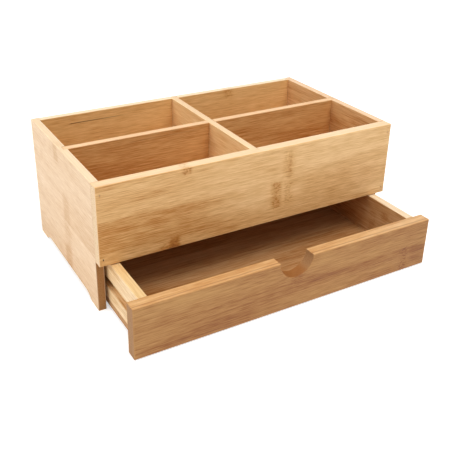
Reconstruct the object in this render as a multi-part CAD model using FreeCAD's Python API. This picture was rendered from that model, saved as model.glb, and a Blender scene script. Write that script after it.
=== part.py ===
"""Utensil caddy with drawer: a bamboo case with four open compartments over one drawer.

Units are millimetres. +Z is up, the front looks along -Y, and +X is to the right of someone who faces
the front. The origin is on the table, in the middle of the space that the caddy takes up with its
drawer pulled out by drawer_pull, which is how the pieces are placed.
"""
import FreeCAD, Part
import math
import os
from collections import namedtuple

Vector = FreeCAD.Vector

# ---------------------------------------------------------------- case: overall size and boards
case_width = 300.0
case_depth = 170.0
case_height = 121.0
side_thickness = 7.0
front_thickness = 10.0
front_height = 72.0
back_thickness = 6.5

# ---------------------------------------------------------------- feet cut out of the side panels
foot_length = 18.0
relief_height = 5.0
relief_corner_radius = 20.0

# ---------------------------------------------------------------- compartment floor and dividers
floor_thickness = 5.0
floor_setback = 2.0
floor_groove_depth = 2.5
divider_thickness = 6.5
side_housing_depth = 3.5
front_housing_depth = 4.5
back_housing_depth = 3.5

# ---------------------------------------------------------------- drawer
drawer_pull = 64.8
drawer_front_thickness = 11.5
drawer_side_thickness = 8.0
drawer_back_thickness = 8.0
drawer_bottom_thickness = 6.0
notch_radius = 16.8

# ---------------------------------------------------------------- runners and the grooves they fill
groove_height = 9.5
groove_depth = 4.0
groove_bottom_above_panel = 12.5
runner_setback = 15.0
runner_lead_in = 2.0

# ---------------------------------------------------------------- clearances
drawer_front_end_gap = 0.4
drawer_front_top_gap = 1.0
drawer_front_floor_gap = 1.0
drawer_panel_floor_gap = 3.0
drawer_side_gap = 2.7
drawer_rear_gap = 3.0
runner_rear_gap = 2.0
runner_top_gap = 0.3
runner_bottom_gap = 0.7
runner_tip_gap = 0.5
housing_slip = 0.1
housing_end_gap = 0.2
lap_gap = 0.3

# ---------------------------------------------------------------- eased edges
outer_ease = 0.5
rim_ease = 0.4
inner_ease = 0.4

# ---------------------------------------------------------------- brads and dowels
brad_wire_thickness = 1.0
brad_wire_width = 1.25
brad_head_width = 1.9
brad_head_thickness = 0.5
brad_point_length = 1.5
brad_clearance = 0.1
front_brad_set_depth = 0.8
front_brad_length = 24.0
front_brad_low = 5.7
front_brad_high = 8.0
runner_brad_length = 10.0
runner_brad_inset = 15.0
runner_brads_per_side = 3
bottom_brad_length = 16.0
bottom_brad_inset = 18.0
bottom_brads_per_side = 3
back_brad_length = 20.0
dowel_radius = 2.5
dowel_clearance = 0.1
dowel_in_front = 6.0
dowel_in_side = 14.0

# ---------------------------------------------------------------- places that follow from the sizes
half_width = case_width / 2
total_depth = case_depth + drawer_pull
case_front_y = drawer_pull - total_depth / 2
case_back_y = total_depth / 2
side_front_y = case_front_y + front_thickness
back_inner_y = case_back_y - back_thickness
side_inner_x = half_width - side_thickness
front_bottom_z = case_height - front_height
floor_bottom_z = front_bottom_z + floor_setback
floor_top_z = floor_bottom_z + floor_thickness
bay_middle_y = (side_front_y + back_inner_y) / 2

drawer_front_y = -total_depth / 2
drawer_box_front_y = drawer_front_y + drawer_front_thickness
drawer_box_length = back_inner_y - side_front_y - drawer_rear_gap
drawer_back_y = drawer_box_front_y + drawer_box_length
drawer_outer_x = side_inner_x - drawer_side_gap
drawer_inner_x = drawer_outer_x - drawer_side_thickness
drawer_side_middle_x = (drawer_outer_x + drawer_inner_x) / 2
drawer_top_z = front_bottom_z - drawer_front_top_gap
panel_top_z = drawer_panel_floor_gap + drawer_bottom_thickness
groove_bottom_z = panel_top_z + groove_bottom_above_panel
groove_top_z = groove_bottom_z + groove_height
runner_bottom_z = groove_bottom_z + runner_bottom_gap
runner_top_z = groove_top_z - runner_top_gap
runner_inner_x = drawer_outer_x - groove_depth + runner_tip_gap
runner_front_y = side_front_y + runner_setback
lower_joint_z = (panel_top_z + groove_bottom_z) / 2
upper_joint_z = (groove_top_z + drawer_top_z) / 2


# ================================================================ helpers
def block(x_range, y_range, z_range):
    """A square-edged board that fills three ranges."""
    size = [high - low for low, high in (x_range, y_range, z_range)]
    return Part.makeBox(*size, Vector(x_range[0], y_range[0], z_range[0]))


def lies_on(edge, axis, value):
    """True if both ends of an edge are at one coordinate (axis 0, 1 or 2)."""
    return all(abs(vertex.Point[axis] - value) < 1e-6 for vertex in edge.Vertexes)


def edges_at(shape, *planes):
    """The edges that lie in every one of the planes, each given as (axis, value)."""
    return [edge for edge in shape.Edges if all(lies_on(edge, *plane) for plane in planes)]


def edges_in_any(shape, chosen):
    """The edges that lie in any one of the chosen lists of planes, each edge once."""
    found = {edge.hashCode(): edge for planes in chosen for edge in edges_at(shape, *planes)}
    return list(found.values())


def rounded(shape, radius, *chosen):
    return shape.makeFillet(radius, edges_in_any(shape, chosen))


def bevelled(shape, size, *chosen):
    return shape.makeChamfer(size, edges_in_any(shape, chosen))


def evenly(first, last, count):
    """Count positions from first to last, both included."""
    return [first + (last - first) * step / (count - 1) for step in range(count)]


def mirrored(shape):
    """The left-hand twin of a piece that is drawn for the right-hand side."""
    return shape.mirror(Vector(0, 0, 0), Vector(1, 0, 0))


def both_sides(right_pieces):
    return right_pieces + [mirrored(piece) for piece in right_pieces]


# A brad is driven in along one direction from a point of a face; its head is widest along across.
Brad = namedtuple("Brad", "point direction across length set_depth")

INTO_BACK = Vector(0, 1, 0)
INTO_RIGHT = Vector(1, 0, 0)
INTO_LEFT = Vector(-1, 0, 0)
UPWARD = Vector(0, 0, 1)


def slab(place, outline, thickness):
    """A flat bar whose outline is given as (depth, width) points from where a brad enters."""
    sideways = place.direction.cross(place.across)
    corner = place.point - sideways * (thickness / 2)
    points = [corner + place.direction * depth + place.across * width for depth, width in outline]
    return Part.Face(Part.makePolygon(points + points[:1])).extrude(sideways * thickness)


def brad(place):
    """A T-headed brad of flat wire with a chisel point; its head lies set_depth under the face."""
    head = place.set_depth
    neck = head + brad_head_thickness
    tip = head + place.length
    half_head = brad_head_width / 2
    half_wire = brad_wire_width / 2
    outline = [
        (head, -half_head), (neck, -half_head), (neck, -half_wire), (tip - brad_point_length, -half_wire),
        (tip, 0), (tip - brad_point_length, half_wire), (neck, half_wire), (neck, half_head),
        (head, half_head),
    ]
    return slab(place, outline, brad_wire_thickness)


def brad_hole(place):
    """What a brad leaves in the wood: the punch mark over its head, and the slot of its wire."""
    mark_depth = place.set_depth + brad_head_thickness + brad_clearance
    depth = place.set_depth + place.length + brad_clearance
    half_mark = brad_head_width / 2 + brad_clearance
    half_slot = brad_wire_width / 2 + brad_clearance
    outline = [
        (0, -half_mark), (mark_depth, -half_mark), (mark_depth, -half_slot), (depth, -half_slot),
        (depth, half_slot), (mark_depth, half_slot), (mark_depth, half_mark), (0, half_mark),
    ]
    return slab(place, outline, brad_wire_thickness + 2 * brad_clearance)


# ================================================================ places of brads and dowels
def front_brads():
    """Through the face of the front board into the right panel's edge."""
    x = half_width - side_thickness / 2
    heights = (front_bottom_z + front_brad_low, case_height - front_brad_high)
    points = [Vector(x, case_front_y, z) for z in heights]
    return [Brad(p, INTO_BACK, UPWARD, front_brad_length, front_brad_set_depth) for p in points]


def runner_brads():
    """Through the tip of the right runner into its panel."""
    z = (runner_bottom_z + runner_top_z) / 2
    y_first = runner_front_y + runner_brad_inset
    y_last = back_inner_y - runner_rear_gap - runner_brad_inset
    places = evenly(y_first, y_last, runner_brads_per_side)
    points = [Vector(runner_inner_x, y, z) for y in places]
    return [Brad(p, INTO_RIGHT, INTO_BACK, runner_brad_length, 0) for p in points]


def bottom_brads():
    """Up through the drawer bottom, into the right side and into the back."""
    y_first = drawer_box_front_y + bottom_brad_inset
    y_last = drawer_back_y - bottom_brad_inset
    places = evenly(y_first, y_last, bottom_brads_per_side)
    under_side = [Vector(drawer_side_middle_x, y, drawer_panel_floor_gap) for y in places]
    back_middle_y = drawer_back_y - drawer_back_thickness / 2
    under_back = Vector(drawer_inner_x / 2, back_middle_y, drawer_panel_floor_gap)
    brads = [Brad(p, UPWARD, INTO_BACK, bottom_brad_length, 0) for p in under_side]
    brads.append(Brad(under_back, UPWARD, INTO_RIGHT, bottom_brad_length, 0))
    return brads


def back_brads():
    """Through the right drawer side into the end of the drawer back."""
    y = drawer_back_y - drawer_back_thickness / 2
    points = [Vector(drawer_outer_x, y, z) for z in (lower_joint_z, upper_joint_z)]
    return [Brad(p, INTO_LEFT, UPWARD, back_brad_length, 0) for p in points]


def dowel_starts():
    """The front ends of the dowels that join the drawer front to the right drawer side."""
    y = drawer_box_front_y - dowel_in_front
    return [Vector(drawer_side_middle_x, y, z) for z in (lower_joint_z, upper_joint_z)]


def brad_group(places):
    """The brads of a right-hand list and their left-hand twins, as separate solids of one shape."""
    return Part.makeCompound(both_sides([brad(place) for place in places]))


def brad_holes(places):
    return both_sides([brad_hole(place) for place in places])


def dowel_group():
    length = dowel_in_front + dowel_in_side
    right = [Part.makeCylinder(dowel_radius, length, start, INTO_BACK) for start in dowel_starts()]
    return Part.makeCompound(both_sides(right))


def dowel_holes():
    depth = dowel_in_front + dowel_in_side + 2 * dowel_clearance
    radius = dowel_radius + dowel_clearance
    starts = [start - INTO_BACK * dowel_clearance for start in dowel_starts()]
    return both_sides([Part.makeCylinder(radius, depth, start, INTO_BACK) for start in starts])


# ================================================================ what the housed boards leave
def floor_groove():
    """The space that the edges of the compartment floor take in the boards around it."""
    x_reach = side_inner_x + floor_groove_depth
    return block(
        (-x_reach, x_reach),
        (side_front_y - floor_groove_depth, back_inner_y + floor_groove_depth),
        (floor_bottom_z, floor_top_z),
    )


def long_divider_housing():
    x_reach = side_inner_x + side_housing_depth
    half = divider_thickness / 2 + housing_slip
    y_range = (bay_middle_y - half, bay_middle_y + half)
    return block((-x_reach, x_reach), y_range, (floor_top_z, case_height))


def cross_divider_housing():
    half = divider_thickness / 2 + housing_slip
    y_range = (side_front_y - front_housing_depth, back_inner_y + back_housing_depth)
    return block((-half, half), y_range, (floor_top_z, case_height))


# ================================================================ case
def right_side_outline():
    """The side panel in the YZ plane: a rectangle with a round-cornered relief between two feet."""
    drop = relief_corner_radius - relief_height
    run = math.sqrt(relief_corner_radius ** 2 - drop ** 2)
    front_toe = side_front_y + foot_length
    back_toe = case_back_y - foot_length
    half_turn = math.acos(drop / relief_corner_radius) / 2
    bulge_y = run - relief_corner_radius * math.sin(half_turn)
    bulge_z = relief_corner_radius * math.cos(half_turn) - drop

    def at(y, z):
        return Vector(side_inner_x, y, z)

    front_curve = Part.Arc(
        at(front_toe, 0), at(front_toe + bulge_y, bulge_z), at(front_toe + run, relief_height)
    )
    back_curve = Part.Arc(
        at(back_toe - run, relief_height), at(back_toe - bulge_y, bulge_z), at(back_toe, 0)
    )
    edges = [
        Part.LineSegment(at(side_front_y, 0), at(front_toe, 0)),
        front_curve,
        Part.LineSegment(at(front_toe + run, relief_height), at(back_toe - run, relief_height)),
        back_curve,
        Part.LineSegment(at(back_toe, 0), at(case_back_y, 0)),
        Part.LineSegment(at(case_back_y, 0), at(case_back_y, case_height)),
        Part.LineSegment(at(case_back_y, case_height), at(side_front_y, case_height)),
        Part.LineSegment(at(side_front_y, case_height), at(side_front_y, 0)),
    ]
    return Part.Wire([edge.toShape() for edge in edges])


def make_right_side():
    panel = Part.Face(right_side_outline()).extrude(Vector(side_thickness, 0, 0))
    top_outer = [(0, half_width), (2, case_height)]
    back_outer = [(0, half_width), (1, case_back_y)]
    panel = rounded(panel, outer_ease, top_outer, back_outer)
    panel = bevelled(panel, rim_ease, [(0, side_inner_x), (2, case_height)])
    panel = panel.cut([floor_groove(), long_divider_housing()])
    return panel.cut(brad_holes(front_brads() + runner_brads()))


def make_front_board():
    board = block(
        (-half_width, half_width), (case_front_y, side_front_y), (front_bottom_z, case_height)
    )
    top_ends = [[(0, x), (2, case_height)] for x in (-half_width, half_width)]
    board = rounded(board, outer_ease, [(1, case_front_y)], *top_ends)
    board = bevelled(board, rim_ease, [(1, side_front_y), (2, case_height)])
    return board.cut([floor_groove(), cross_divider_housing()] + brad_holes(front_brads()))


def make_back_board():
    board = block(
        (-side_inner_x, side_inner_x), (back_inner_y, case_back_y), (relief_height, case_height)
    )
    board = rounded(board, outer_ease, [(1, case_back_y), (2, case_height)])
    board = bevelled(board, rim_ease, [(1, back_inner_y), (2, case_height)])
    return board.cut([floor_groove(), cross_divider_housing()])


def make_compartment_floor():
    x_reach = side_inner_x + floor_groove_depth - housing_end_gap
    y_front = side_front_y - floor_groove_depth + housing_end_gap
    y_back = back_inner_y + floor_groove_depth - housing_end_gap
    return block((-x_reach, x_reach), (y_front, y_back), (floor_bottom_z, floor_top_z))


def lap_height():
    """Where the two dividers meet in their cross lap: half way up."""
    return (floor_top_z + case_height) / 2


def make_long_divider():
    """Slotted from above, so that the cross divider drops over it."""
    x_reach = side_inner_x + side_housing_depth - housing_end_gap
    y_front = bay_middle_y - divider_thickness / 2
    y_back = bay_middle_y + divider_thickness / 2
    board = block((-x_reach, x_reach), (y_front, y_back), (floor_top_z, case_height))
    top_edges = [[(1, y), (2, case_height)] for y in (y_front, y_back)]
    board = bevelled(board, rim_ease, *top_edges)
    half_slot = divider_thickness / 2 + housing_slip
    slot = block((-half_slot, half_slot), (y_front, y_back), (lap_height() - lap_gap / 2, case_height))
    return board.cut(slot)


def make_cross_divider():
    """Slotted from below; its rim runs through over the long divider."""
    half = divider_thickness / 2
    y_front = side_front_y - front_housing_depth + housing_end_gap
    y_back = back_inner_y + back_housing_depth - housing_end_gap
    board = block((-half, half), (y_front, y_back), (floor_top_z, case_height))
    board = bevelled(board, rim_ease, *[[(0, x), (2, case_height)] for x in (-half, half)])
    half_slot = half + housing_slip
    y_range = (bay_middle_y - half_slot, bay_middle_y + half_slot)
    slot = block((-half, half), y_range, (floor_top_z, lap_height() + lap_gap / 2))
    return board.cut(slot)


def make_right_runner():
    """A strip with a chamfered front end that leads the drawer's groove on to it."""
    y_back = back_inner_y - runner_rear_gap
    strip = block(
        (runner_inner_x, side_inner_x), (runner_front_y, y_back), (runner_bottom_z, runner_top_z)
    )
    front_end = (1, runner_front_y)
    strip = bevelled(
        strip,
        runner_lead_in,
        [front_end, (2, runner_bottom_z)],
        [front_end, (2, runner_top_z)],
        [front_end, (0, runner_inner_x)],
    )
    return strip.cut(brad_holes(runner_brads()))


# ================================================================ drawer
def drawer_front_outline():
    """The drawer front in the XZ plane, with a half-round finger notch in its top edge."""
    x_end = half_width - drawer_front_end_gap

    def at(x, z):
        return Vector(x, drawer_front_y, z)

    bowl = Part.Arc(
        at(notch_radius, drawer_top_z), at(0, drawer_top_z - notch_radius), at(-notch_radius, drawer_top_z)
    )
    edges = [
        Part.LineSegment(at(-x_end, drawer_front_floor_gap), at(x_end, drawer_front_floor_gap)),
        Part.LineSegment(at(x_end, drawer_front_floor_gap), at(x_end, drawer_top_z)),
        Part.LineSegment(at(x_end, drawer_top_z), at(notch_radius, drawer_top_z)),
        bowl,
        Part.LineSegment(at(-notch_radius, drawer_top_z), at(-x_end, drawer_top_z)),
        Part.LineSegment(at(-x_end, drawer_top_z), at(-x_end, drawer_front_floor_gap)),
    ]
    return Part.Wire([edge.toShape() for edge in edges])


def make_drawer_front():
    board = Part.Face(drawer_front_outline()).extrude(Vector(0, drawer_front_thickness, 0))
    board = rounded(board, outer_ease, [(1, drawer_front_y)])
    board = bevelled(board, inner_ease, [(1, drawer_box_front_y)])
    return board.cut(dowel_holes())


def make_drawer_right_side():
    board = block(
        (drawer_inner_x, drawer_outer_x), (drawer_box_front_y, drawer_back_y), (panel_top_z, drawer_top_z)
    )
    top_edges = [[(0, x), (2, drawer_top_z)] for x in (drawer_inner_x, drawer_outer_x)]
    board = bevelled(board, rim_ease, *top_edges)
    groove = block(
        (drawer_outer_x - groove_depth, drawer_outer_x),
        (drawer_box_front_y, drawer_back_y),
        (groove_bottom_z, groove_top_z),
    )
    return board.cut([groove] + dowel_holes() + brad_holes(bottom_brads() + back_brads()))


def make_drawer_back():
    y_front = drawer_back_y - drawer_back_thickness
    board = block(
        (-drawer_inner_x, drawer_inner_x), (y_front, drawer_back_y), (panel_top_z, drawer_top_z)
    )
    top_edges = [[(1, y), (2, drawer_top_z)] for y in (y_front, drawer_back_y)]
    board = bevelled(board, rim_ease, *top_edges)
    return board.cut(brad_holes(bottom_brads() + back_brads()))


def make_drawer_bottom():
    panel = block(
        (-drawer_outer_x, drawer_outer_x),
        (drawer_box_front_y, drawer_back_y),
        (drawer_panel_floor_gap, panel_top_z),
    )
    return panel.cut(brad_holes(bottom_brads()))


# ================================================================ export
def main():
    right_side = make_right_side()
    right_runner = make_right_runner()
    drawer_right_side = make_drawer_right_side()
    nodes = {
        "left_side": mirrored(right_side),
        "right_side": right_side,
        "front_board": make_front_board(),
        "back_board": make_back_board(),
        "compartment_floor": make_compartment_floor(),
        "long_divider": make_long_divider(),
        "cross_divider": make_cross_divider(),
        "left_runner": mirrored(right_runner),
        "right_runner": right_runner,
        "front_board_brads": brad_group(front_brads()),
        "runner_brads": brad_group(runner_brads()),
        "drawer_front": make_drawer_front(),
        "drawer_left_side": mirrored(drawer_right_side),
        "drawer_right_side": drawer_right_side,
        "drawer_back": make_drawer_back(),
        "drawer_bottom": make_drawer_bottom(),
        "drawer_front_dowels": dowel_group(),
        "drawer_bottom_brads": brad_group(bottom_brads()),
        "drawer_back_brads": brad_group(back_brads()),
    }
    os.makedirs("parts", exist_ok=True)
    for name, shape in nodes.items():
        shape.exportStep("parts/" + name + ".step")


main()
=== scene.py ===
"""The looks of a bamboo utensil caddy with a drawer: materials, studio light and camera.

Everything is in metres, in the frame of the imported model. Sizes inside the wood's pattern are in
millimetres, because grain is easier to judge that way.
"""
import math
from collections import namedtuple
from collections.abc import Sequence
from dataclasses import dataclass

import bpy
from mathutils import Matrix, Vector


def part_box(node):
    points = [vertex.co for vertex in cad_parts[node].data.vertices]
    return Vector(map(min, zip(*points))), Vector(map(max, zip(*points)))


# ---------------------------------------------------------------- camera, as fitted to the photograph
# Pixels count from the upper left corner of the square photograph.
PHOTO_SIDE_PX = 450
FOCAL_PX = 709.0
PRINCIPAL_POINT_PX = (220.1, 184.9)
SENSOR_MM = 36.0
CAMERA_PLACE = Vector((-0.3122, -0.5234, 0.3594))
CAMERA_AZIMUTH = math.radians(30.16)
CAMERA_ELEVATION = math.radians(25.61)
CAMERA_ROLL = math.radians(0.98)
CAMERA_CLIP_START = 0.01

# ---------------------------------------------------------------- light
# The world lights the object with the ambient strength, and shows as full white behind it.
AMBIENT_STRENGTH = 0.32
BACKGROUND_STRENGTH = 1.0
TOP_LAMP = {"place": (0.10, -0.50, 1.35), "side": 0.8, "power": 13.0}
LEFT_LAMP = {"place": (-1.30, 0.30, 0.75), "side": 0.9, "power": 11.5}
FRONT_LAMP = {"place": (0.10, -1.40, 0.80), "side": 0.7, "power": 2.0}
LAMP_TARGET = Vector((0.0, 0.0, 0.06))

# ---------------------------------------------------------------- floor
# The camera sees the floor glow a little, and more further out, where it runs into the white background.
FLOOR_HALF_SIDE = 4.0
FLOOR_ALBEDO = 0.80
FLOOR_NEAR_GLOW = 0.55
FLOOR_FAR_GLOW = 0.80
FLOOR_GLOW_REACH = (0.5, 2.0)

MM_PER_METRE = 1000.0
AXES = {"X": 0, "Y": 1, "Z": 2}


def linear(red, green, blue):
    """A colour given as 0-255 sRGB values, as the linear values that shaders take."""
    def channel(value):
        value = value / 255
        return value / 12.92 if value <= 0.04045 else ((value + 0.055) / 1.055) ** 2.4
    return (channel(red), channel(green), channel(blue), 1.0)


# ================================================================ node shorthand
class Nodes:
    """Builds a node tree with one call a node; an input may be a number, a colour or a socket."""

    def __init__(self, tree):
        self.tree = tree

    def add(self, kind, inputs=(), **settings):
        node = self.tree.nodes.new(kind)
        for name, value in settings.items():
            setattr(node, name, value)
        for key, value in dict(inputs).items():
            self.feed(node.inputs[key], value)
        return node

    def feed(self, socket, value):
        if isinstance(value, bpy.types.NodeSocket):
            self.tree.links.new(value, socket)
        else:
            socket.default_value = value

    def math(self, operation, first, second=0.0, third=0.0):
        node = self.add("ShaderNodeMath", {0: first, 1: second, 2: third}, operation=operation)
        return node.outputs[0]

    def total(self, *terms):
        result = terms[0]
        for term in terms[1:]:
            result = self.math("ADD", result, term)
        return result

    def product(self, *factors):
        result = factors[0]
        for factor in factors[1:]:
            result = self.math("MULTIPLY", result, factor)
        return result

    def largest(self, *values):
        result = values[0]
        for value in values[1:]:
            result = self.math("MAXIMUM", result, value)
        return result

    def spread(self, value, strength, middle=0.0):
        """Noise around 0.5, as strength times its distance from there, around a middle of its own."""
        return self.math("MULTIPLY_ADD", value, strength, middle - strength / 2)

    def vector(self, x, y, z):
        return self.add("ShaderNodeCombineXYZ", {0: x, 1: y, 2: z}).outputs[0]

    def fade(self, value, full_at, gone_at):
        """1 where value is at full_at, smoothly down to 0 where it is at gone_at."""
        inputs = {"Value": value, "From Min": full_at, "From Max": gone_at, "To Min": 1.0, "To Max": 0.0}
        node = self.add("ShaderNodeMapRange", inputs, interpolation_type="SMOOTHSTEP")
        return node.outputs[0]

    def noise(self, vector, detail):
        inputs = {"Vector": vector, "Scale": 1.0, "Detail": detail}
        return self.add("ShaderNodeTexNoise", inputs).outputs["Fac"]

    def blend(self, amount, first, second):
        inputs = {"Factor": amount, 6: first, 7: second}
        return self.add("ShaderNodeMix", inputs, data_type="RGBA").outputs[2]

    def bump(self, height, strength, distance):
        inputs = {"Strength": strength, "Distance": distance, "Height": height}
        return self.add("ShaderNodeBump", inputs).outputs[0]


# ================================================================ bamboo
# Tones are 0-255 sRGB values, and lengths are millimetres from a board's low corner.
CASE_TONE = (226, 184, 128)
CASE_RIM_TONE = (240, 207, 163)
INNER_TONE = (214, 164, 106)

# A darker place on a board, or a paler one where depth is below 0: where its middle is along the grain
# and how far it reaches from there, its lowest and highest edge across the grain, how dark it is, how
# strong the flecks in it are, and how soft its two edges are.
Mark = namedtuple("Mark", "middle reach low high depth flecks soft", defaults=(0.0, 1.5))
# A hairline crack: where it starts and ends along the grain, its place across, and how strong it is.
Crack = namedtuple("Crack", "start end height depth")
# How strongly a glue line or a worn edge with its painted highlight shows, and how far it reaches.
Line = namedtuple("Line", "amount reach")
# Noise that is drawn out along the grain: its lengths along and across, its detail and its own layer.
Grain = namedtuple("Grain", "length width detail layer")

CLOUD = Grain(110.0, 16.0, 2.0, 1.0)
STREAK = Grain(60.0, 1.6, 3.0, 7.0)
FIBRE = Grain(14.0, 0.7, 2.0, 13.0)
FLECK = Grain(2.8, 1.6, 1.0, 19.0)
PORE = Grain(0.9, 0.9, 1.0, 29.0)
WANDER_ALONG = Grain(400.0, 6.0, 2.0, 23.0)
WANDER_ACROSS = Grain(4.0, 400.0, 2.0, 37.0)
WANDER_ALONG_MM = 6.0
WANDER_ACROSS_MM = 5.0
# Each strip takes its grain from a place of its own, at most this many pattern lengths away.
STRIP_SHIFT = 500.0
# The noise levels between which a fleck or a pore opens.
FLECK_LEVELS = (0.64, 0.46)
PORE_LEVELS = (0.68, 0.52)

# How far each pattern moves the darkness between its extremes; below 0, high noise is pale.
STRIP_SPREAD = 0.16
CLOUD_SPREAD = -1.1
STREAK_SPREAD = -1.1
FIBRE_SPREAD = -1.4
# The darkness of a board's own tone, and those of its end grain, in solid wood and in an open pore.
OWN_TONE = 0.5
END_DARKNESS = (0.35, 0.70)
# Stops of darkness, each with what it scales the red, green and blue of the tone by.
TONE_STOPS = (
    (0.0, (1.10, 1.17, 1.30)),
    (0.5, (1.0, 1.0, 1.0)),
    (1.0, (0.84, 0.71, 0.49)),
    (1.5, (0.66, 0.48, 0.28)),
)
GLUE_SCALES = (0.74, 0.60, 0.44)
BELOW_RIM_SCALES = (0.79, 0.67, 0.48)
CREVICE_SCALES = (0.42, 0.34, 0.26)
# worn edges are paler, partly from wear and partly as a painted highlight along the arrises
WORN_AND_HIGHLIGHT_SCALES = (1.10, 1.14, 1.20)

# How far a face's normal has to go along an axis to count in full, and to count at all.
FACING_LEVELS = (0.85, 0.45)
# A mark has its full strength over this share of its reach.
MARK_CORE = 0.25
# A crack opens over a short length and tapers by a power. The pairs are where it is in full and where
# it is gone: how deep in the board, and how far from its middle line.
CRACK_OPENING = 4.0
CRACK_TAPER = 0.5
CRACK_THROUGH = (1.0, 3.0)
CRACK_HALF_WIDTH = (0.1, 0.65)
# The upper edge counts in full down to the first depth, and not at all below the second.
UPPER_EDGE = (1.0, 3.0)
RIM_SOFTNESS = 0.4
# The shares of the length between which a leaning rim goes back to its own tone.
RIM_LEAN_SPAN = (0.2, 0.8)
# A board is a core ply with this share of its thickness, between two plies of half the core's.
CORE_SHARE = 0.5
# The shares of the thickness between which its near half goes over into its far half.
HALF_CHANGE = (0.4, 0.6)

ROUGHNESS = 0.44
STREAK_ROUGHNESS = 0.16
END_ROUGHNESS = 0.2
FIBRE_RELIEF = 0.5
STREAK_RELIEF = 0.5
SCAR_RELIEF = -0.5
LINE_RELIEF = -1.0
BUMP_STRENGTH = 0.35
BUMP_HEIGHT = 0.15 / MM_PER_METRE


@dataclass
class Board:
    """How one board is cut and pressed, its colours and its marks. Its noise starts from its seed."""

    grain: str
    across: str
    tone: tuple
    seed: float
    # how wide a strip is, and where the first one starts across the grain
    strip: float = 27.0
    strip_start: float = 0.0
    # how strong the broad grain and the fibres are
    contrast: float = 1.0
    fibres: float = 1.0
    # the glue lines between strips and between plies, and how strong those in the far half are
    seams: Line = Line(0.15, 0.4)
    plies: Line = Line(0.2, 0.4)
    rear_ply: float = 1.0
    # the worn long edges, paler as wear and as a painted highlight along the arrises
    wear_and_highlight: Line = Line(0.3, 0.8)
    # the paler planed rim: how much of the grain it keeps, how wide a strip beside each face keeps the
    # face's tone as painted shade of a rounder arris, how much browner its low end is, and its tone
    rim_grain: float = 0.35
    shaded_arris_width: float = 0.0
    rim_lean: float = 0.0
    rim_tone: tuple = CASE_RIM_TONE
    # the end faces' tone, where it isn't the board's
    end_tone: tuple = None
    # how much browner the level faces below the rim are, such as the notch's floor, and the lacquer's
    # specular level
    below_rim_browning: float = 0.0
    gloss: float = 0.5
    marks: Sequence = ()
    cracks: Sequence = ()

    def thickness_axis(self):
        return ({"X", "Y", "Z"} - {self.grain, self.across}).pop()


def board_coordinates(nodes, board, low):
    """Distances in millimetres from the board's low corner: along its grain, across, and through."""
    place = nodes.add("ShaderNodeTexCoord").outputs["Object"]
    apart = nodes.add("ShaderNodeSeparateXYZ", {0: place}).outputs
    order = (board.grain, board.across, board.thickness_axis())
    places = []
    for axis in (AXES[letter] for letter in order):
        places.append(nodes.math("MULTIPLY_ADD", apart[axis], MM_PER_METRE, -low[axis] * MM_PER_METRE))
    return places


def extent(low, high, letter):
    """The board's size along one axis, in millimetres."""
    return (high[AXES[letter]] - low[AXES[letter]]) * MM_PER_METRE


def edge_wear_and_highlight(nodes, low, high, reach):
    """1 on the board's long edges, worn by sanding and hands and given a painted highlight, down to 0 at
    reach from them.
    """
    place = nodes.add("ShaderNodeTexCoord").outputs["Object"]
    apart = nodes.add("ShaderNodeSeparateXYZ", {0: place}).outputs
    gaps = []
    for axis in range(3):
        middle = (low[axis] + high[axis]) / 2
        half = (high[axis] - low[axis]) / 2
        offset = nodes.math("ABSOLUTE", nodes.math("SUBTRACT", apart[axis], middle))
        gaps.append(nodes.math("MULTIPLY", nodes.math("SUBTRACT", half, offset), MM_PER_METRE))
    nearer = nodes.math("MINIMUM", gaps[0], gaps[1])
    further = nodes.math("MAXIMUM", gaps[0], gaps[1])
    second = nodes.largest(nearer, nodes.math("MINIMUM", further, gaps[2]))
    return nodes.fade(second, reach / 2, reach)


def band(nodes, value, middle, full, gone):
    """1 within full of the middle value, smoothly down to 0 at gone from it."""
    return nodes.fade(nodes.math("ABSOLUTE", nodes.math("SUBTRACT", value, middle)), full, gone)


def mark(nodes, along, across, place):
    """1 in the middle of a mark, down to 0 around it."""
    half = (place.high - place.low) / 2
    lengthways = band(nodes, along, place.middle, place.reach * MARK_CORE, place.reach)
    crossways = band(nodes, across, place.low + half, half - place.soft, half + place.soft)
    return nodes.product(lengthways, crossways)


def crack(nodes, along, across, through, place):
    """A hairline along the grain in the board's low face: it opens near its start, then tapers off."""
    opens = nodes.fade(along, place.start + CRACK_OPENING, place.start)
    closes = nodes.fade(along, place.start, place.end)
    lengthways = nodes.product(opens, nodes.math("POWER", closes, CRACK_TAPER))
    shallow = nodes.fade(through, *CRACK_THROUGH)
    crossways = band(nodes, across, place.height, *CRACK_HALF_WIDTH)
    return nodes.product(lengthways, crossways, shallow, place.depth)


def seam(nodes, place, size, line):
    """The glue lines, where place, counted in strips or plies of one size, is a whole number."""
    from_line = nodes.math("PINGPONG", place, 0.5)
    return nodes.product(nodes.fade(from_line, 0.0, line.reach / size), line.amount)


def facing(nodes, axis):
    """1 on the faces that look along one of the object's axes."""
    normal = nodes.add("ShaderNodeTexCoord").outputs["Normal"]
    part = nodes.add("ShaderNodeSeparateXYZ", {0: normal}).outputs[AXES[axis]]
    return nodes.fade(nodes.math("ABSOLUTE", part), *FACING_LEVELS)


def shade(tone, red, green, blue):
    """A tone with its channels scaled, as a linear colour."""
    return linear(*[min(value * scale, 255) for value, scale in zip(tone, (red, green, blue))])


def tone_ramp(nodes, dark, tone):
    """From a paler version of the tone, through the tone itself, to browner ones as dark rises."""
    darkest = TONE_STOPS[-1][0]
    ramp = nodes.add("ShaderNodeValToRGB", {0: nodes.math("DIVIDE", dark, darkest)})
    stops = ramp.color_ramp.elements
    # the ramp starts with its two end stops
    for place, _ in TONE_STOPS[1:-1]:
        stops.new(place / darkest)
    for stop, (place, scales) in zip(stops, TONE_STOPS):
        stop.position = place / darkest
        stop.color = shade(tone, *scales)
    return ramp.outputs["Color"]


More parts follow.
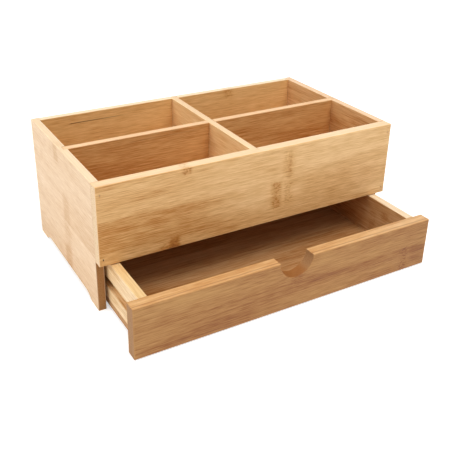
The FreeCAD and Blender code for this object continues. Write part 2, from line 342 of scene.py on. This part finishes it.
class Wood:
    """One board's bamboo as shader values: pressed strips with fibres, glue lines, marks and cracks."""

    def __init__(self, nodes, board, low, high):
        self.nodes = nodes
        self.board = board
        self.low = low
        self.high = high
        self.along, self.across, self.through = board_coordinates(nodes, board, low)
        self.thickness = extent(low, high, board.thickness_axis())
        self.core = self.thickness * CORE_SHARE
        from_first = nodes.math("SUBTRACT", self.across, board.strip_start)
        self.strip_place = nodes.math("DIVIDE", from_first, board.strip)
        self.ply_place = nodes.math("MULTIPLY_ADD", self.through, 1 / self.core, 0.5)
        self.chance = self.strip_chance()
        self.shift = nodes.math("MULTIPLY", self.chance, STRIP_SHIFT)
        self.streak = self.pattern(STREAK)
        self.fibre = self.pattern(FIBRE)
        height = extent(low, high, board.across)
        self.upper = nodes.fade(nodes.math("SUBTRACT", height, self.across), *UPPER_EDGE)
        self.end = facing(nodes, board.grain)
        self.marked, self.scar = self.all_marks()
        cracks = [crack(nodes, self.along, self.across, self.through, place) for place in board.cracks]
        self.crevice = nodes.largest(0.0, *cracks)
        self.lines = self.glue_lines()

    def strip_chance(self):
        """A random value of its own for each strip of each ply."""
        nodes = self.nodes
        strip = nodes.math("FLOOR", self.strip_place)
        ply = nodes.math("FLOOR", self.ply_place)
        cell = nodes.vector(strip, ply, self.board.seed)
        dice = nodes.add("ShaderNodeTexWhiteNoise", {"Vector": cell}, noise_dimensions="3D")
        return dice.outputs["Value"]

    def pattern(self, grain):
        """Noise drawn out along the grain, and broken at each strip."""
        nodes = self.nodes
        along = nodes.math("DIVIDE", self.along, grain.length)
        across = nodes.math("DIVIDE", self.across, grain.width)
        through = nodes.math("DIVIDE", self.through, grain.width)
        layer = grain.layer + self.board.seed
        at = nodes.vector(nodes.math("ADD", along, self.shift), nodes.math("ADD", across, layer), through)
        return nodes.noise(at, grain.detail)

    def all_marks(self):
        """How much the marks darken each point, and how much the flecks in them do."""
        nodes = self.nodes
        # their outlines are a little uneven
        sideways = nodes.spread(self.pattern(WANDER_ALONG), WANDER_ALONG_MM)
        upwards = nodes.spread(self.pattern(WANDER_ACROSS), WANDER_ACROSS_MM)
        along = nodes.math("ADD", self.along, sideways)
        across = nodes.math("ADD", self.across, upwards)
        marked = 0.0
        flecked = 0.0
        for place in self.board.marks:
            shape = mark(nodes, along, across, place)
            marked = nodes.math("MULTIPLY_ADD", shape, place.depth, marked)
            flecked = nodes.math("MULTIPLY_ADD", shape, place.flecks, flecked)
        fleck = nodes.fade(self.pattern(FLECK), *FLECK_LEVELS)
        return marked, nodes.product(flecked, fleck)

    def glue_lines(self):
        """The lines between strips, and those between plies, which show on the upper edge."""
        nodes = self.nodes
        board = self.board
        change_start, change_end = [share * self.thickness for share in HALF_CHANGE]
        near_half = nodes.fade(self.through, change_start, change_end)
        strength = nodes.math("MULTIPLY_ADD", near_half, 1.0 - board.rear_ply, board.rear_ply)
        between_strips = seam(nodes, self.strip_place, board.strip, board.seams)
        between_plies = seam(nodes, self.ply_place, self.core, board.plies)
        return nodes.largest(between_strips, nodes.product(between_plies, self.upper, strength))

    def darkness(self):
        """How dark the wood is at each point, where OWN_TONE is the board's own tone."""
        nodes = self.nodes
        board = self.board
        return nodes.total(
            nodes.spread(self.chance, STRIP_SPREAD * board.contrast, OWN_TONE),
            nodes.spread(self.pattern(CLOUD), CLOUD_SPREAD * board.contrast),
            nodes.spread(self.streak, STREAK_SPREAD * board.contrast),
            nodes.spread(self.fibre, FIBRE_SPREAD * board.fibres),
            self.marked,
            self.scar,
        )

    def with_rim(self, colour, dark):
        """The colour with a paler planed rim along the upper edge, where set with painted shade at its
        arrises, and browner level faces below it.
        """
        nodes = self.nodes
        board = self.board
        edge = facing(nodes, board.across)
        rim = nodes.product(edge, self.upper)
        # near the faces the rim keeps the face's darker tone: painted shade of a rounder arris
        if board.shaded_arris_width:
            half = self.thickness / 2
            flat = half - board.shaded_arris_width
            inner = band(nodes, self.through, half, flat - RIM_SOFTNESS, flat + RIM_SOFTNESS)
            rim = nodes.product(rim, inner)
        length = extent(self.low, self.high, board.grain)
        lean_start, lean_end = [share * length for share in RIM_LEAN_SPAN]
        lean = nodes.product(nodes.fade(self.along, lean_start, lean_end), board.rim_lean)
        rim_base = OWN_TONE * (1.0 - board.rim_grain)
        rim_dark = nodes.total(nodes.product(dark, board.rim_grain), rim_base, lean)
        colour = nodes.blend(rim, colour, tone_ramp(nodes, rim_dark, board.rim_tone))
        # level faces below the rim are browner: the notch's floor and the underside
        below_rim_browning = nodes.product(edge, nodes.math("SUBTRACT", 1.0, self.upper), board.below_rim_browning)
        return nodes.blend(below_rim_browning, colour, shade(board.tone, *BELOW_RIM_SCALES))

    def with_end_grain(self, colour):
        """The colour with the cut ends of the fibres on the two end faces."""
        nodes = self.nodes
        pore = nodes.fade(self.pattern(PORE), *PORE_LEVELS)
        solid, opened = END_DARKNESS
        dark = nodes.math("MULTIPLY_ADD", pore, opened - solid, solid)
        tone = self.board.end_tone or self.board.tone
        return nodes.blend(self.end, colour, tone_ramp(nodes, dark, tone))

    def colour(self):
        nodes = self.nodes
        board = self.board
        dark = self.darkness()
        colour = tone_ramp(nodes, dark, board.tone)
        colour = self.with_rim(colour, dark)
        colour = self.with_end_grain(colour)
        colour = nodes.blend(self.lines, colour, shade(board.tone, *GLUE_SCALES))
        colour = nodes.blend(self.crevice, colour, shade(board.tone, *CREVICE_SCALES))
        # the long edges paler: wear, and a painted highlight along the arrises
        worn_and_highlit = nodes.product(edge_wear_and_highlight(nodes, self.low, self.high, board.wear_and_highlight.reach), board.wear_and_highlight.amount)
        return nodes.blend(worn_and_highlit, colour, shade(board.tone, *WORN_AND_HIGHLIGHT_SCALES))

    def roughness(self):
        nodes = self.nodes
        return nodes.total(
            ROUGHNESS,
            nodes.product(self.streak, STREAK_ROUGHNESS),
            nodes.product(self.end, END_ROUGHNESS),
        )

    def relief(self):
        nodes = self.nodes
        return nodes.total(
            nodes.product(self.fibre, FIBRE_RELIEF),
            nodes.product(self.streak, STREAK_RELIEF),
            nodes.product(self.scar, SCAR_RELIEF),
            nodes.product(nodes.largest(self.lines, self.crevice), LINE_RELIEF),
        )


def new_material(name):
    """A material with its node shorthand and its shader's inputs."""
    material = bpy.data.materials.new(name)
    material.use_nodes = True
    nodes = Nodes(material.node_tree)
    return material, nodes, material.node_tree.nodes["Principled BSDF"].inputs


def bamboo(name, board, low, high):
    """Lacquered bamboo for a board that lies between its low and high corner."""
    material, nodes, inputs = new_material(name)
    wood = Wood(nodes, board, low, high)
    nodes.feed(inputs["Base Color"], wood.colour())
    nodes.feed(inputs["Roughness"], wood.roughness())
    nodes.feed(inputs["Specular IOR Level"], board.gloss)
    nodes.feed(inputs["Normal"], nodes.bump(wood.relief(), BUMP_STRENGTH, BUMP_HEIGHT))
    return material


BOARDS = {
    # The side panels' end faces, their front edges under the front board among them, are dark brown.
    "left_side": Board("Y", "Z", (228, 195, 156), 1.0, strip=26.5, strip_start=25.5, contrast=0.4,
                       fibres=0.6, end_tone=(166, 118, 66), rim_tone=(240, 211, 172), marks=[
                           Mark(88.5, 10.0, 105.0, 125.0, 0.20, 0.08, 3.0),
                           Mark(69.0, 13.0, 52.0, 78.5, 0.15, 0.05, 2.0),
                           Mark(20.0, 70.0, 52.0, 78.5, 0.08, 0.0, 2.0),
                           Mark(71.0, 13.0, 25.5, 52.0, 0.14, 0.06, 3.0),
                           Mark(73.0, 13.0, -4.0, 25.5, 0.20, 0.08, 3.0),
                           Mark(80.0, 400.0, -4.0, 25.5, 0.11, 0.0, 2.0),
                       ]),
    "right_side": Board("Y", "Z", (202, 154, 100), 2.0, strip=26.5, strip_start=9.0,
                        end_tone=(166, 118, 66), rim_tone=(242, 203, 162), marks=[
                            Mark(30.0, 55.0, -20.0, 140.0, 0.08, 0.0, 3.0),
                            Mark(135.0, 55.0, -20.0, 140.0, -0.11, 0.0, 3.0),
                            Mark(118.0, 7.0, 35.5, 62.0, 0.25, 0.35),
                            Mark(52.0, 7.0, 9.0, 35.5, 0.30, 0.35),
                            Mark(20.0, 7.0, 62.0, 88.5, 0.20, 0.30),
                        ]),
    "front_board": Board("X", "Z", (230, 181, 118), 3.0, strip_start=13.0, contrast=0.8,
                         # its rim keeps the face's tone next to the faces: painted shade of rounder
                         # arrises
                         seams=Line(0.08, 0.4), shaded_arris_width=0.4, rim_tone=(240, 205, 160),
                         end_tone=(224, 192, 150), marks=[
                             Mark(0.0, 170.0, -20.0, 100.0, 0.08, 0.0, 3.0),
                             Mark(300.0, 120.0, -20.0, 100.0, -0.10, 0.0, 3.0),
                             Mark(182.5, 9.0, 41.0, 67.0, 0.16, 0.20),
                             Mark(183.5, 3.2, 41.0, 67.0, 0.16),
                             Mark(170.0, 8.0, 13.0, 39.0, 0.36, 0.30),
                             Mark(183.0, 7.0, 15.0, 36.0, 0.10, 0.30),
                             Mark(80.0, 6.5, 66.5, 76.0, 0.30, 0.45),
                             Mark(68.0, 7.0, -8.0, 8.5, 0.62, 0.30, 5.0),
                             Mark(60.0, 8.0, -8.0, 6.0, 0.25, 0.25, 3.0),
                             Mark(45.0, 100.0, 10.0, 40.0, 0.24, 0.0, 7.0),
                             Mark(250.0, 80.0, 14.0, 34.0, 0.16, 0.0, 5.0),
                             Mark(130.0, 70.0, 22.0, 46.0, -0.14, 0.0, 7.0),
                             Mark(190.0, 260.0, 46.0, 76.0, -0.14, 0.0, 6.0),
                         ]),
    "back_board": Board("X", "Z", (225, 177, 112), 4.0, strip_start=24.0, contrast=0.6, fibres=0.8,
                        rim_tone=(250, 225, 188), marks=[
                            Mark(0.0, 170.0, -20.0, 140.0, 0.06, 0.0, 3.0),
                            Mark(286.0, 170.0, -20.0, 140.0, -0.08, 0.0, 3.0),
                            Mark(207.5, 9.0, 106.0, 121.0, 0.22, 0.20, 3.0),
                            Mark(120.0, 7.0, 24.0, 51.0, 0.25, 0.35),
                            Mark(64.0, 7.0, 51.0, 78.0, 0.20, 0.35),
                        ],
                        cracks=[Crack(27.0, 92.0, 107.0, 1.0)]),
    "compartment_floor": Board("X", "Y", INNER_TONE, 5.0, marks=[
        Mark(90.0, 7.0, 27.0, 54.0, 0.25, 0.35),
        Mark(210.0, 7.0, 108.0, 135.0, 0.25, 0.35),
    ]),
    "long_divider": Board("X", "Z", (204, 152, 92), 6.0, strip_start=10.0, rim_tone=(240, 198, 150),
                          marks=[
                              Mark(0.0, 170.0, -20.0, 140.0, 0.07, 0.0, 3.0),
                              Mark(262.0, 12.0, 64.0, 86.0, 0.30, 0.10, 4.0),
                          ],
                          cracks=[Crack(60.0, 172.0, 60.0, 0.25)]),
    "cross_divider": Board("Y", "Z", (232, 193, 138), 7.0, strip_start=14.0, contrast=0.5, fibres=0.5,
                           seams=Line(0.08, 0.4), marks=[
                               Mark(130.0, 60.0, -4.0, 125.0, 0.12),
                               Mark(100.0, 7.0, 14.0, 41.0, 0.25, 0.25),
                           ]),
    "left_runner": Board("Y", "Z", CASE_TONE, 8.0),
    "right_runner": Board("Y", "Z", CASE_TONE, 9.0),
    "drawer_front": Board("X", "Z", (180, 127, 67), 10.0, strip_start=24.0, fibres=1.3,
                          # its wide pale band along the arrises is wear and painted highlight
                          plies=Line(0.45, 1.2), rear_ply=0.25, wear_and_highlight=Line(0.4, 1.2), rim_grain=0.6,
                          rim_lean=0.24, rim_tone=(214, 168, 114), end_tone=(154, 110, 66),
                          below_rim_browning=0.8, marks=[
                              Mark(272.0, 6.5, -4.0, 24.0, 0.05, 0.55),
                              Mark(288.0, 12.0, 6.0, 22.0, 0.22, 0.05, 2.0),
                              Mark(151.0, 8.0, 23.0, 30.0, 0.12, 0.20),
                              Mark(180.0, 260.0, 15.0, 25.0, 0.18, 0.0, 3.0),
                              Mark(60.0, 150.0, -4.0, 15.0, 0.10, 0.0, 3.0),
                              Mark(20.0, 60.0, 38.0, 46.0, -0.22, 0.0, 3.0),
                          ]),
    "drawer_left_side": Board("Y", "Z", (228, 192, 141), 11.0, rim_tone=(226, 191, 136), marks=[
        Mark(75.0, 400.0, -10.0, 12.0, -0.10, 0.0, 2.0),
        Mark(45.0, 16.0, 34.0, 52.0, 0.30, 0.10, 4.0),
    ]),
    "drawer_right_side": Board("Y", "Z", (208, 162, 110), 12.0, rim_tone=(243, 220, 184),
                               marks=[
                                   Mark(45.0, 7.0, -4.0, 27.0, 0.10, 0.15),
                                   Mark(28.0, 7.0, 22.0, 32.0, 0.25, 0.20, 3.0),
                                   # painted light and shade: paler near the front, where the side stands
                                   # lit out of the case, and much darker further back, in the case's
                                   # shade
                                   Mark(20.0, 50.0, -4.0, 60.0, -0.10, 0.0, 3.0),
                                   Mark(115.0, 70.0, -4.0, 60.0, 0.42, 0.0, 3.0),
                               ]),
    "drawer_back": Board("X", "Z", CASE_TONE, 13.0, marks=[Mark(200.0, 7.0, -4.0, 27.0, 0.25, 0.35)]),
    "drawer_bottom": Board("X", "Y", (181, 134, 86), 14.0, strip_start=16.4, seams=Line(0.45, 1.2),
                           gloss=0.35, marks=[
                               Mark(140.0, 600.0, 43.0, 69.0, 0.20, 0.0, 3.0),
                               # painted shade: the floor darker far back, in the shade under the case
                               Mark(140.0, 600.0, 92.0, 300.0, 0.12, 0.0, 12.0),
                               Mark(190.0, 7.0, 116.0, 143.0, 0.25, 0.35),
                           ]),
    "drawer_front_dowels": Board("Y", "Z", CASE_TONE, 15.0),
}
FILLED_BRAD_NODES = ("front_board_brads",)
BARE_BRAD_NODES = ("runner_brads", "drawer_bottom_brads", "drawer_back_brads")
# Where filler hides brads, the one at the lower left stays bare: in full up to the first place along X
# and along Z, and not at all beyond the second, in metres.
BARE_ALONG_X = (-0.10, -0.05)
BARE_ALONG_Z = (0.06, 0.10)
# The filler is paler than the wood: painted light that offsets the shade in the brad holes.
FILLER_PAINTED_LIGHT_TONES = ((248, 210, 158), (255, 232, 190))
STEEL_TONES = ((70, 46, 26), (112, 82, 54))
SCUFFS_PER_MM = 4.0
SCUFF_DETAIL = 3.0
STEEL_ROUGHNESS = (0.45, 0.75)
STEEL_METALLIC = 0.5
SCUFF_STRENGTH = 0.3
SCUFF_HEIGHT = 0.05 / MM_PER_METRE


def brad_steel(name, filled):
    """Dull brown steel with the scuffs of the punch; where filled, wood filler hides all but one, painted
    paler to offset the shade in the holes.
    """
    material, nodes, inputs = new_material(name)
    place = nodes.add("ShaderNodeTexCoord").outputs["Object"]
    scaling = {0: place, 3: SCUFFS_PER_MM * MM_PER_METRE}
    scaled = nodes.add("ShaderNodeVectorMath", scaling, operation="SCALE").outputs[0]
    scuff = nodes.noise(scaled, SCUFF_DETAIL)
    colour = nodes.blend(scuff, *[linear(*tone) for tone in STEEL_TONES])
    metallic = STEEL_METALLIC
    if filled:
        apart = nodes.add("ShaderNodeSeparateXYZ", {0: place}).outputs
        bare = nodes.product(nodes.fade(apart[0], *BARE_ALONG_X), nodes.fade(apart[2], *BARE_ALONG_Z))
        # filler painted paler than the wood, offsetting the shade in the holes
        filler_with_painted_light = nodes.blend(scuff, *[linear(*tone) for tone in FILLER_PAINTED_LIGHT_TONES])
        colour = nodes.blend(bare, filler_with_painted_light, colour)
        metallic = nodes.product(bare, STEEL_METALLIC)
    nodes.feed(inputs["Base Color"], colour)
    smooth, rough = STEEL_ROUGHNESS
    nodes.feed(inputs["Roughness"], nodes.math("MULTIPLY_ADD", scuff, rough - smooth, smooth))
    nodes.feed(inputs["Metallic"], metallic)
    nodes.feed(inputs["Normal"], nodes.bump(scuff, SCUFF_STRENGTH, SCUFF_HEIGHT))
    return material


def dress(piece, material):
    piece.data.materials.clear()
    piece.data.materials.append(material)


def dress_nodes(frame):
    bare_steel = brad_steel("brad_steel", False)
    filled_steel = brad_steel("filled_brad_steel", True)
    for name, piece in frame["nodes"].items():
        if name in FILLED_BRAD_NODES:
            dress(piece, filled_steel)
        elif name in BARE_BRAD_NODES:
            dress(piece, bare_steel)
        else:
            dress(piece, bamboo("bamboo_" + name, BOARDS[name], *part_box(name)))


# ================================================================ studio
def white_for_camera(nodes):
    """1 for the rays that see the background itself or mirror it."""
    path = nodes.add("ShaderNodeLightPath").outputs
    return nodes.largest(path["Is Camera Ray"], path["Is Glossy Ray"], path["Is Transmission Ray"])


def make_world():
    world = bpy.data.worlds.new("studio")
    world.use_nodes = True
    bpy.context.scene.world = world
    nodes = Nodes(world.node_tree)
    seen = white_for_camera(nodes)
    background = world.node_tree.nodes["Background"]
    strength = nodes.math("MULTIPLY_ADD", seen, BACKGROUND_STRENGTH - AMBIENT_STRENGTH, AMBIENT_STRENGTH)
    background.inputs["Color"].default_value = (1.0, 1.0, 1.0, 1.0)
    nodes.feed(background.inputs["Strength"], strength)


def make_floor():
    reach = FLOOR_HALF_SIDE
    ring = [(-reach, -reach, 0), (reach, -reach, 0), (reach, reach, 0), (-reach, reach, 0)]
    mesh = bpy.data.meshes.new("floor")
    mesh.from_pydata(ring, [], [(0, 1, 2, 3)])
    floor = bpy.data.objects.new("floor", mesh)
    bpy.context.collection.objects.link(floor)
    material = bpy.data.materials.new("floor")
    material.use_nodes = True
    tree = material.node_tree
    tree.nodes.clear()
    nodes = Nodes(tree)
    albedo = (FLOOR_ALBEDO, FLOOR_ALBEDO, FLOOR_ALBEDO, 1.0)
    diffuse = nodes.add("ShaderNodeBsdfDiffuse", {"Color": albedo}).outputs[0]
    place = nodes.add("ShaderNodeTexCoord").outputs["Object"]
    distance = nodes.add("ShaderNodeVectorMath", {0: place}, operation="LENGTH").outputs["Value"]
    near = nodes.fade(distance, *FLOOR_GLOW_REACH)
    level = nodes.math("MULTIPLY_ADD", near, FLOOR_NEAR_GLOW - FLOOR_FAR_GLOW, FLOOR_FAR_GLOW)
    glow_strength = nodes.math("MULTIPLY", white_for_camera(nodes), level)
    glow = nodes.add("ShaderNodeEmission", {"Strength": glow_strength}).outputs[0]
    both = nodes.add("ShaderNodeAddShader", {0: diffuse, 1: glow}).outputs[0]
    nodes.add("ShaderNodeOutputMaterial", {"Surface": both})
    mesh.materials.append(material)


def make_lamp(name, place, side, power):
    lamp = bpy.data.lights.new(name, "AREA")
    lamp.shape = "SQUARE"
    lamp.size = side
    lamp.energy = power
    holder = bpy.data.objects.new(name, lamp)
    holder.location = place
    holder.rotation_euler = (LAMP_TARGET - Vector(place)).to_track_quat("-Z", "Y").to_euler()
    bpy.context.collection.objects.link(holder)


def make_camera():
    forward = Vector((
        math.cos(CAMERA_ELEVATION) * math.sin(CAMERA_AZIMUTH),
        math.cos(CAMERA_ELEVATION) * math.cos(CAMERA_AZIMUTH),
        -math.sin(CAMERA_ELEVATION),
    ))
    level = Vector((math.cos(CAMERA_AZIMUTH), -math.sin(CAMERA_AZIMUTH), 0.0))
    upright = level.cross(forward)
    right = level * math.cos(CAMERA_ROLL) + upright * math.sin(CAMERA_ROLL)
    up = upright * math.cos(CAMERA_ROLL) - level * math.sin(CAMERA_ROLL)
    camera = bpy.data.cameras.new("camera")
    camera.sensor_width = SENSOR_MM
    camera.lens = FOCAL_PX / PHOTO_SIDE_PX * SENSOR_MM
    camera.shift_x = 0.5 - PRINCIPAL_POINT_PX[0] / PHOTO_SIDE_PX
    camera.shift_y = PRINCIPAL_POINT_PX[1] / PHOTO_SIDE_PX - 0.5
    camera.clip_start = CAMERA_CLIP_START
    holder = bpy.data.objects.new("camera", camera)
    turn = Matrix((right, up, -forward)).transposed()
    holder.matrix_world = Matrix.Translation(CAMERA_PLACE) @ turn.to_4x4()
    bpy.context.collection.objects.link(holder)
    bpy.context.scene.camera = holder


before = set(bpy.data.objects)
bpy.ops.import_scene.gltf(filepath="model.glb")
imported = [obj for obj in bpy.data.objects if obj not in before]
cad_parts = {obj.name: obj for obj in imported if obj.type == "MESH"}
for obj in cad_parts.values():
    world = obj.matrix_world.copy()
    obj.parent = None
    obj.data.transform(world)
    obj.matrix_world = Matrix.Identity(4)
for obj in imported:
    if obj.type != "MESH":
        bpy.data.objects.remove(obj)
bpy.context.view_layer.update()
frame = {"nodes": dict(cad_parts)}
make_camera()
make_world()
make_floor()
make_lamp("top_lamp", **TOP_LAMP)
make_lamp("left_lamp", **LEFT_LAMP)
make_lamp("front_lamp", **FRONT_LAMP)
dress_nodes(frame)
bpy.context.scene.view_settings.view_transform = "Standard"
